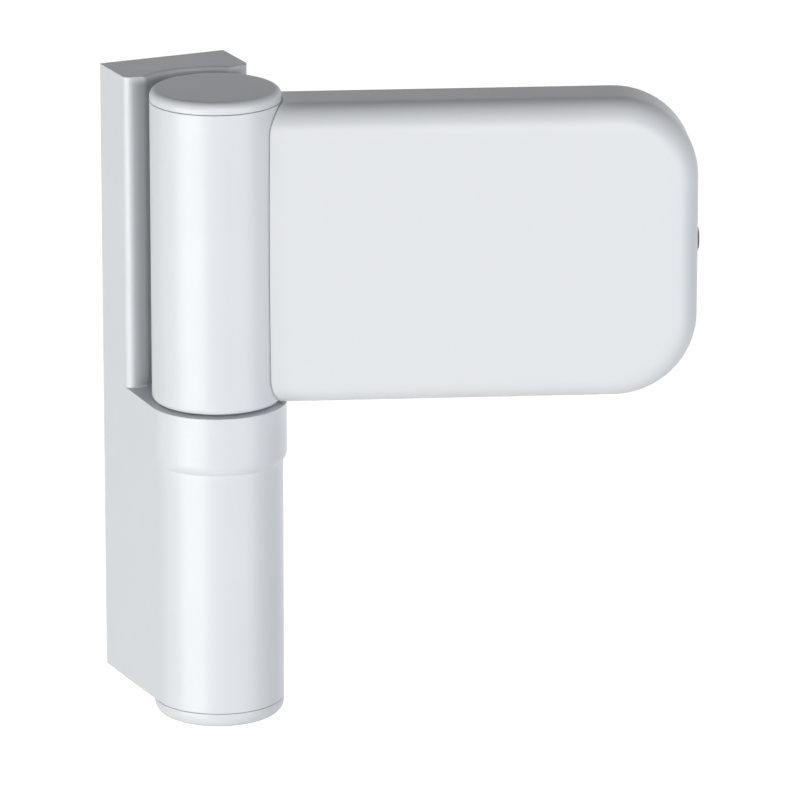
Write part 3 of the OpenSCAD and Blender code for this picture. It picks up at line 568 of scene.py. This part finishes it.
def build_groups():
    """Builds each effect that several finishes share, once."""
    inputs = {"Grain width": 0.9 * MM, "Depth": 0.002 * MM, "Fine depth": 0.0005 * MM}
    tree, given, result = group(EFFECTS["relief"], inputs, {"Height": "Float"})
    place = coordinates(tree)
    broad = noise(tree, place, given["Grain width"], 1.5)
    fine = noise(tree, place, maths(tree, "MULTIPLY", given["Grain width"], 0.18), 1.0)
    low = maths(tree, "MULTIPLY", broad, given["Depth"])
    tree.links.new(maths(tree, "MULTIPLY_ADD", fine, given["Fine depth"], low), result["Height"])

    tree, given, result = group(EFFECTS["edges"], {"Radius": 0.2 * MM}, {"Normal": "Vector", "Edge": "Float"})
    rounded = node(tree, "ShaderNodeBevel", {"Radius": given["Radius"]}, samples=6).outputs["Normal"]
    straight = node(tree, "ShaderNodeNewGeometry").outputs["Normal"]
    meet = vector_maths(tree, "DOT_PRODUCT", rounded, straight, out="Value")
    tree.links.new(rounded, result["Normal"])
    tree.links.new(remap(tree, meet, 0.99, 0.80), result["Edge"])

    inputs = {"Patch width": 14 * MM, "Streak": 0.5}
    tree, given, result = group(EFFECTS["handling"], inputs, {"Mask": "Float"})
    place = coordinates(tree)
    patches = noise(tree, place, given["Patch width"], 3.0, 0.55)
    streaked = node(tree, "ShaderNodeMapping", {"Vector": place, "Scale": (1.0, 1.0, 0.18)}).outputs["Vector"]
    streaks = noise(tree, streaked, maths(tree, "MULTIPLY", given["Patch width"], 0.12), 4.0, 0.6)
    mixed = node(tree, "ShaderNodeMix", {0: given["Streak"], 2: patches, 3: streaks}).outputs[0]
    tree.links.new(remap(tree, mixed, 0.3, 0.7), result["Mask"])

    inputs = {"Line width": 0.12 * MM, "Depth": 0.003 * MM}
    tree, given, result = group(EFFECTS["turned"], inputs, {"Height": "Float", "Mask": "Float"})
    centred = vector_maths(tree, "SUBTRACT", coordinates(tree), (*BARREL_AXIS, 0))
    part = node(tree, "ShaderNodeSeparateXYZ", {"Vector": centred}).outputs
    flat = node(tree, "ShaderNodeCombineXYZ", {"X": part["X"], "Y": part["Y"]}).outputs["Vector"]
    radius = vector_maths(tree, "LENGTH", flat, out="Value")
    lines = node(tree, "ShaderNodeCombineXYZ", {"X": radius, "Y": part["Z"], "Z": 0.0}).outputs["Vector"]
    marks = noise(tree, lines, given["Line width"], 3.0, 0.65)
    tree.links.new(maths(tree, "MULTIPLY", marks, given["Depth"]), result["Height"])
    tree.links.new(marks, result["Mask"])

    inputs = {"Grain width": 0.5 * MM, "Depth": 0.02 * MM}
    tree, given, result = group(EFFECTS["cast"], inputs, {"Height": "Float"})
    place = coordinates(tree)
    inputs = {"Vector": place, "Scale": maths(tree, "DIVIDE", 1.0, given["Grain width"])}
    cells = node(tree, "ShaderNodeTexVoronoi", inputs, feature="SMOOTH_F1").outputs["Distance"]
    broad = noise(tree, place, maths(tree, "MULTIPLY", given["Grain width"], 6.0), 3.0)
    mixed = maths(tree, "MULTIPLY_ADD", broad, 0.8, cells)
    tree.links.new(maths(tree, "MULTIPLY", mixed, given["Depth"]), result["Height"])


# Finishes -------------------------------------------------------------------------------------------------


def shared_groups():
    """The shader groups of this file, built when the first finish asks for them."""
    if EFFECTS["relief"] not in bpy.data.node_groups:
        build_groups()
    return {key: bpy.data.node_groups[name] for key, name in EFFECTS.items()}


class Finish:
    """One material under way: its tree, its shader and the shared groups."""

    def __init__(self, name, roughness, metallic=0.0, **sockets):
        self.material = bpy.data.materials.new(name)
        self.material.use_nodes = True
        self.tree = self.material.node_tree
        self.shader = self.tree.nodes["Principled BSDF"]
        self.groups = shared_groups()
        self.shader.inputs["Metallic"].default_value = metallic
        self.shader.inputs["Roughness"].default_value = roughness
        for socket, value in sockets.items():
            self.shader.inputs[socket.replace("_", " ")].default_value = value

    def effect(self, key, **values):
        """Places a shared group with its own values and returns its outputs."""
        made = node(self.tree, "ShaderNodeGroup", node_tree=self.groups[key])
        for name, value in values.items():
            made.inputs[name.replace("_", " ")].default_value = value
        return made.outputs

    def tint(self, base, other, mask):
        """Mixes two colours by a mask into Base Color, and returns the mix."""
        mixed = mix_colours(self.tree, mask, (*base, 1), (*other, 1))
        self.tree.links.new(mixed, self.shader.inputs["Base Color"])
        return mixed

    def retint(self, mixed, other, mask, amount):
        """Mixes a further colour over the mix so far."""
        factor = maths(self.tree, "MULTIPLY", mask, amount, clamp=True)
        mixed = mix_colours(self.tree, factor, mixed, (*other, 1))
        self.tree.links.new(mixed, self.shader.inputs["Base Color"])
        return mixed

    def rough(self, mask, low, high):
        """Roughness from low to high by a mask."""
        ranged = remap(self.tree, mask, to_low=low, to_high=high)
        self.tree.links.new(ranged, self.shader.inputs["Roughness"])

    def bump(self, height, normal=None):
        """A real height in metres, on top of a normal."""
        made = node(self.tree, "ShaderNodeBump", {"Height": height, "Strength": 1.0, "Distance": 1.0})
        if normal is not None:
            self.tree.links.new(normal, made.inputs["Normal"])
        self.tree.links.new(made.outputs["Normal"], self.shader.inputs["Normal"])


def shade(value, factor):
    """A colour made lighter or darker."""
    return tuple(min(1.0, channel * factor) for channel in value)


def span(tree, value, start, end):
    """A smooth step: 0 where the value is at the start, 1 at the end."""
    return remap(tree, value, start, end, interpolation_type="SMOOTHSTEP")


def window(tree, value, one, other):
    """1 between two smooth steps, each given in millimetres as (0 here, 1 there)."""
    steps = [span(tree, value, start * MM, end * MM) for start, end in (one, other)]
    return maths(tree, "MULTIPLY", *steps)


def run_out(tree, place, normal):
    """The normal where the collar's rounded lower edge runs out into the flanks: level from |x| = 10.9 mm
    on, at the edge's own height."""
    outward = span(tree, maths(tree, "ABSOLUTE", place["X"]), 9.9 * MM, 10.9 * MM)
    band = window(tree, place["Z"], (-10.7, -10.3), (-8.1, -8.4))
    level = vector_maths(tree, "MULTIPLY", normal, (1, 1, 0))
    factor = maths(tree, "MULTIPLY", outward, band)
    mixed = node(tree, "ShaderNodeMix", {0: factor, 4: normal, 5: level}, data_type="VECTOR").outputs[1]
    return vector_maths(tree, "NORMALIZE", mixed)


def channel_shade_mask(tree, place):
    """Mask of the painted shade in the channel: 1 on the wall of the channel behind the knuckle, fading out
    over the horns' rounded inner edges and at the top. The radius is the distance from the barrel axis."""
    across = maths(tree, "SUBTRACT", place["X"], BARREL_AXIS[0])
    back = maths(tree, "SUBTRACT", place["Y"], BARREL_AXIS[1])
    square = maths(tree, "MULTIPLY_ADD", across, across, maths(tree, "MULTIPLY", back, back))
    inside = window(tree, maths(tree, "SQRT", square), (16.2, 14.4), (12.0, 12.6))
    height = window(tree, place["Z"], (0.1, 0.7), (54.0, 52.5))
    return maths(tree, "MULTIPLY", inside, height)


def white_coat(values):
    """Powder coat on the metal parts: orange peel, soft edges, slight handling marks, and painted shade, a
    greyer colour, in the narrow channel behind the knuckle."""
    finish = Finish("white_coat", values.coat_roughness, IOR=1.5)
    tree, peel = finish.tree, values.peel_depth
    place = node(tree, "ShaderNodeSeparateXYZ", {"Vector": coordinates(tree)}).outputs
    edges = finish.effect("edges", Radius=values.edge_softness)
    relief = finish.effect("relief", Grain_width=values.peel_size, Depth=peel, Fine_depth=0.15 * peel)
    marks = finish.effect("handling", Patch_width=16 * MM, Streak=0.25)
    mixed = finish.tint(shade(values.white, 0.985), shade(values.white, 1.01), marks["Mask"])
    mixed = finish.retint(mixed, shade(values.white, 1.06), edges["Edge"], 0.35)
    # Painted shade: the base colour on the channel wall behind the knuckle is darkened.
    finish.retint(mixed, shade(values.white, values.painted_channel_shade), channel_shade_mask(tree, place), 1.0)
    finish.rough(marks["Mask"], values.coat_roughness + 0.03, values.coat_roughness - 0.03)
    finish.bump(relief["Height"], run_out(tree, place, edges["Normal"]))
    return finish.material


def white_plastic(name, base, roughness, grain):
    """Moulded plastic: a fine even grain, calm colour, slightly glossier where hands rub it."""
    finish = Finish(name, roughness, IOR=1.47)
    relief = finish.effect("relief", Grain_width=grain, Depth=0.0012 * MM, Fine_depth=0.0006 * MM)
    marks = finish.effect("handling", Patch_width=22 * MM, Streak=0.15)
    finish.tint(shade(base, 0.99), shade(base, 1.008), marks["Mask"])
    finish.rough(marks["Mask"], roughness + 0.035, roughness - 0.02)
    finish.bump(relief["Height"])
    return finish.material


def bearing_plastic(values):
    """Natural bearing plastic, with faint turning marks."""
    finish = Finish("bearing_plastic", 0.45, IOR=1.49)
    turned_marks = finish.effect("turned", Line_width=0.2 * MM, Depth=0.004 * MM)
    marks = finish.effect("handling", Patch_width=6 * MM, Streak=0.3)
    finish.tint(shade(values.bearing, 0.94), values.bearing, marks["Mask"])
    finish.rough(marks["Mask"], 0.5, 0.4)
    finish.bump(turned_marks["Height"])
    return finish.material


def turned_steel(name, base, roughness, depth):
    """Steel with turning or grinding marks round the pin axis and softened edges."""
    finish = Finish(name, roughness, metallic=1.0)
    edges = finish.effect("edges", Radius=0.15 * MM)
    turned_marks = finish.effect("turned", Line_width=0.1 * MM, Depth=depth)
    marks = finish.effect("handling", Patch_width=5 * MM, Streak=0.4)
    mixed = finish.tint(shade(base, 0.86), base, marks["Mask"])
    finish.retint(mixed, shade(base, 1.3), edges["Edge"], 0.5)
    finish.rough(turned_marks["Mask"], roughness - 0.08, roughness + 0.1)
    finish.bump(turned_marks["Height"], edges["Normal"])
    return finish.material


def zinc_casting(values):
    """Bare die-cast zinc: grainy skin, cloudy grey, brighter where edges rub."""
    finish = Finish("zinc_casting", 0.5, metallic=1.0)
    edges = finish.effect("edges", Radius=0.25 * MM)
    skin_marks = finish.effect("cast", Grain_width=0.5 * MM, Depth=0.012 * MM)
    marks = finish.effect("handling", Patch_width=9 * MM, Streak=0.2)
    mixed = finish.tint(shade(values.casting, 0.9), shade(values.casting, 1.05), marks["Mask"])
    finish.retint(mixed, shade(values.casting, 1.5), edges["Edge"], 0.6)
    finish.rough(marks["Mask"], 0.58, 0.42)
    finish.bump(skin_marks["Height"], edges["Normal"])
    return finish.material


def dark_steel(values):
    """Blackened steel: a thin oily black that rubs through to grey on edges."""
    finish = Finish("dark_steel", 0.6, metallic=0.0, IOR=1.4)
    edges = finish.effect("edges", Radius=0.12 * MM)
    relief = finish.effect("relief", Grain_width=0.25 * MM, Depth=0.002 * MM, Fine_depth=0.0008 * MM)
    marks = finish.effect("handling", Patch_width=3 * MM, Streak=0.3)
    mixed = finish.tint(shade(values.dark, 0.7), shade(values.dark, 1.3), marks["Mask"])
    finish.retint(mixed, (0.2, 0.2, 0.21), edges["Edge"], 0.3)
    finish.rough(marks["Mask"], 0.68, 0.55)
    finish.bump(relief["Height"], edges["Normal"])
    return finish.material


def plain_brass(values):
    """Milled brass: bright, faintly scratched, darker in broad clouds."""
    finish = Finish("plain_brass", 0.3, metallic=1.0)
    edges = finish.effect("edges", Radius=0.15 * MM)
    relief = finish.effect("relief", Grain_width=0.3 * MM, Depth=0.002 * MM, Fine_depth=0.001 * MM)
    marks = finish.effect("handling", Patch_width=4 * MM, Streak=0.6)
    mixed = finish.tint(shade(values.brass, 0.78), values.brass, marks["Mask"])
    finish.retint(mixed, shade(values.brass, 1.25), edges["Edge"], 0.5)
    finish.rough(marks["Mask"], 0.38, 0.26)
    finish.bump(relief["Height"], edges["Normal"])
    return finish.material


def paint(piece, material):
    """Gives a piece this one material."""
    piece.data.materials.clear()
    piece.data.materials.append(material)


def paint_slot(slot, material):
    """Gives every CAD part of a slot this material."""
    for name, slot_name in SLOTS.items():
        if slot_name == slot:
            paint(frame["nodes"][name], material)


# Operators ------------------------------------------------------------------------------------------------


class HINGE_OT_leaf_cover(bpy.types.Operator):
    """Builds the moulded cover over the leaf"""

    bl_idname = "hinge.leaf_cover"
    bl_label = "Leaf cover"

    def execute(self, context):
        scene, values = context.scene, context.scene.hinge_finishes
        cover = make_cover(scene.hinge_leaf, scene.hinge_spindle)
        paint(cover, white_plastic("cover_plastic", values.cover_white, values.plastic_roughness, 0.55 * MM))
        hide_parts("leaf_cover")
        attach(cover, "leaf")
        return {"FINISHED"}


class HINGE_OT_caps(bpy.types.Operator):
    """Builds the push-in caps on top of the knuckle and under the lower barrel"""

    bl_idname = "hinge.caps"
    bl_label = "Caps"

    def execute(self, context):
        sizes, values = context.scene.hinge_caps, context.scene.hinge_finishes
        material = white_plastic("cap_plastic", values.cap_white, values.plastic_roughness, 0.4 * MM)
        top_base = TOP_LOW.z + sizes.plug_height
        foot_base = FOOT_HIGH.z - sizes.plug_height
        top_height, foot_height = TOP_HIGH.z - top_base, foot_base - FOOT_LOW.z
        shifted = (BARREL_AXIS[0] + BUSH_SHIFT, BARREL_AXIS[1])
        top = make_cap("cap_top", sizes, top_base, top_height, sizes.top_edge, sizes.top_plug, BARREL_AXIS, 1)
        foot = make_cap(
            "cap_foot", sizes, foot_base, foot_height, sizes.bottom_edge, sizes.bottom_plug, shifted, -1
        )
        for cap, replaced, body in ((top, "top_cap", "leaf"), (foot, "bottom_cap", "frame")):
            paint(cap, material)
            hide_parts(replaced)
            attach(cap, body)
        return {"FINISHED"}


class HINGE_OT_side_spindle(bpy.types.Operator):
    """Builds the threaded spindle that shifts the leaf sideways"""

    bl_idname = "hinge.side_spindle"
    bl_label = "Side spindle"

    def execute(self, context):
        material = dark_steel(context.scene.hinge_finishes)
        spindle = make_spindle(context.scene.hinge_spindle, context.scene.hinge_leaf)
        paint(spindle, material)
        paint_slot("dark_steel", material)
        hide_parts("side_spindle")
        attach(spindle, "spindle")
        return {"FINISHED"}


class HINGE_OT_coated_parts(bpy.types.Operator):
    """Gives the frame part and the leaf's metal part their white coat"""

    bl_idname = "hinge.coated_parts"
    bl_label = "Coated parts"

    def execute(self, context):
        paint_slot("coat", white_coat(context.scene.hinge_finishes))
        return {"FINISHED"}


class HINGE_OT_inner_parts(bpy.types.Operator):
    """Gives bushes, pin, screws, door plate and nut block their plastic and metal finishes"""

    bl_idname = "hinge.inner_parts"
    bl_label = "Inner parts"

    def execute(self, context):
        values = context.scene.hinge_finishes
        paint_slot("bearing_plastic", bearing_plastic(values))
        paint_slot("bright_steel", turned_steel("bright_steel", values.bright, 0.24, 0.0015 * MM))
        paint_slot("zinc_steel", turned_steel("zinc_steel", values.zinc, 0.34, 0.003 * MM))
        paint_slot("zinc_casting", zinc_casting(values))
        paint_slot("brass", plain_brass(values))
        return {"FINISHED"}


def sight(turn, pitch):
    """Unit direction at a turn from straight at the door frame and an angle downwards."""
    return Vector((math.sin(turn) * math.cos(pitch), math.cos(turn) * math.cos(pitch), -math.sin(pitch)))


def soft_lamp(name, turn, pitch, distance, width, height, watts, tint):
    """A rectangular lamp that faces the frame's origin, from a turn and a pitch in degrees."""
    light = bpy.data.lights.new(name, "AREA")
    light.shape, light.size, light.size_y = "RECTANGLE", width, height
    light.energy, light.color = watts, tint
    lamp = place_object(name, light)
    direction = sight(math.radians(turn), math.radians(pitch))
    lamp.location = -direction * distance
    lamp.rotation_euler = (-direction).to_track_quat("Z", "Y").to_euler()
    return lamp


def build_world(values):
    """White to the camera, to reflections and through glass. Other rays find a soft light that comes from
    just below the horizon, is weaker further down and almost gone above."""
    world = bpy.data.worlds.new("studio")
    world.use_nodes = True
    tree = world.node_tree
    tree.nodes.clear()
    up = node(tree, "ShaderNodeSeparateXYZ", {"Vector": coordinates(tree, "Generated")}).outputs["Z"]
    ramp = node(tree, "ShaderNodeValToRGB", {"Fac": maths(tree, "MULTIPLY_ADD", up, 0.5, 0.5)})
    stops = ramp.color_ramp.elements
    # Height from straight below (0) to straight above (1), level, and ratio of blue to green and green to red
    bands = (
        (0.28, values.floor_light, 1.05), (0.32, values.low_light, 1.06), (0.495, values.low_light, 1.06),
        (0.53, values.high_light, 1.25),
    )
    stops.remove(stops[1])
    for place, level, blue in bands:
        stop = stops.new(place)
        stop.color = (level / blue, level, level * blue, 1)
    stops.remove(stops[0])
    rays = node(tree, "ShaderNodeLightPath").outputs
    seen = maths(tree, "MAXIMUM", rays["Is Camera Ray"], rays["Is Glossy Ray"])
    seen = maths(tree, "MAXIMUM", seen, rays["Is Transmission Ray"])
    mixed = mix_colours(tree, seen, ramp.outputs["Color"], (1, 1, 1, 1))
    shown = node(tree, "ShaderNodeBackground", {"Color": mixed, "Strength": 1.0}).outputs["Background"]
    tree.links.new(shown, node(tree, "ShaderNodeOutputWorld").inputs["Surface"])
    bpy.context.scene.world = world


def build_floor(values):
    """A pale level floor just under the foot of the hinge: a grid over x and y at one height. To the camera
    it is white, less the faint shadow of the hinge in the lamps' light."""
    lines = 9
    across = np.linspace(-values.floor_size / 2, values.floor_size / 2, lines)
    x, y = np.meshgrid(across, across, indexing="ij")
    points = np.stack([x, y, np.full_like(x, cad_box[0][2] - 0.01 * MM)], axis=-1)
    mesh = bpy.data.meshes.new("floor")
    mesh.from_pydata(points.reshape(-1, 3).tolist(), [], grid_faces(lines, lines).tolist())
    floor = place_object("floor", mesh)
    floor.visible_diffuse = floor.visible_glossy = floor.visible_shadow = floor.visible_transmission = False

    material = bpy.data.materials.new("pale_floor")
    material.use_nodes = True
    tree = material.node_tree
    tree.nodes.clear()
    tone = remap(tree, noise(tree, coordinates(tree), 0.12), to_low=0.78, to_high=0.82)
    matt = node(tree, "ShaderNodeBsdfDiffuse", {"Color": tone, "Roughness": 0.5}).outputs["BSDF"]
    seen = node(tree, "ShaderNodeLightPath").outputs["Is Camera Ray"]
    strength = maths(tree, "MULTIPLY", seen, values.floor_glow)
    glow = node(tree, "ShaderNodeEmission", {"Color": (1, 1, 1, 1), "Strength": strength}).outputs["Emission"]
    both = node(tree, "ShaderNodeAddShader", {0: matt, 1: glow}).outputs["Shader"]
    tree.links.new(both, node(tree, "ShaderNodeOutputMaterial").inputs["Surface"])
    mesh.materials.append(material)


class HINGE_OT_stage(bpy.types.Operator):
    """Builds floor, lamps, world and camera"""

    bl_idname = "hinge.stage"
    bl_label = "Stage"

    def execute(self, context):
        scene, values = context.scene, context.scene.hinge_stage
        build_world(values)
        build_floor(values)
        # Turn and pitch in degrees, distance, width, height, power, colour
        soft_lamp("side_lamp", 67, -12, 1.2, 1.1, 0.5, values.side_lamp, (1.0, 1.0, 0.955))
        soft_lamp("front_lamp", 10, 12, 0.9, 0.6, 0.42, values.front_lamp, (1.0, 0.985, 0.985))
        soft_lamp("right_lamp", -25, -5, 0.8, 0.5, 0.5, values.right_lamp, (0.97, 0.98, 1.0))
        soft_lamp("left_lamp", 115, -6, 0.9, 0.6, 0.6, values.left_lamp, (0.9, 0.97, 1.0))
        back = soft_lamp("back_lamp", -138, -22, 1.2, 1.0, 0.7, values.back_lamp, (1.0, 1.0, 1.0))
        back.visible_glossy = False
        camera = place_object("camera", bpy.data.cameras.new("camera"))
        camera.data.lens, camera.data.sensor_width, camera.data.clip_start = values.lens, 36, 0.01
        target = Vector(values.target)
        camera.location = target - sight(values.turn, values.pitch) * values.distance
        camera.rotation_euler = (math.pi / 2 - values.pitch, 0, -values.turn)
        scene.camera = camera
        scene.view_settings.view_transform = "Standard"
        return {"FINISHED"}


class HINGE_PT_parts(bpy.types.Panel):
    """Lists the hinge's pieces and their values"""

    bl_label = "Door hinge"
    bl_idname = "HINGE_PT_parts"
    bl_space_type = "VIEW_3D"
    bl_region_type = "UI"
    bl_category = "Hinge"

    def draw(self, context):
        for operator in OPERATORS:
            self.layout.operator(operator.bl_idname)
        for label, name in GROUPS.values():
            box = self.layout.box()
            box.label(text=label)
            values = getattr(context.scene, name)
            for prop in values.bl_rna.properties:
                if prop.identifier not in ("rna_type", "name"):
                    box.prop(values, prop.identifier)


OPERATORS = (
    HINGE_OT_leaf_cover, HINGE_OT_caps, HINGE_OT_side_spindle, HINGE_OT_coated_parts, HINGE_OT_inner_parts,
    HINGE_OT_stage,
)
GROUPS = {
    HingeLeafSizes: ("Leaf", "hinge_leaf"),
    HingeCapSizes: ("Caps", "hinge_caps"),
    HingeSpindleSizes: ("Spindle", "hinge_spindle"),
    HingeFinishes: ("Finishes", "hinge_finishes"),
    HingeStageValues: ("Stage", "hinge_stage"),
}


def register():
    for group_class, (_, name) in GROUPS.items():
        bpy.utils.register_class(group_class)
        setattr(bpy.types.Scene, name, bpy.props.PointerProperty(type=group_class))
    for kind in (*OPERATORS, HINGE_PT_parts):
        bpy.utils.register_class(kind)


def unregister():
    for kind in (HINGE_PT_parts, *reversed(OPERATORS)):
        bpy.utils.unregister_class(kind)
    for group_class, (_, name) in reversed(GROUPS.items()):
        delattr(bpy.types.Scene, name)
        bpy.utils.unregister_class(group_class)


def main():
    register()
    for operator in (
        bpy.ops.hinge.leaf_cover, bpy.ops.hinge.caps, bpy.ops.hinge.side_spindle, bpy.ops.hinge.coated_parts,
        bpy.ops.hinge.inner_parts, bpy.ops.hinge.stage,
    ):
        operator()


if __name__ == "__main__":
    main()
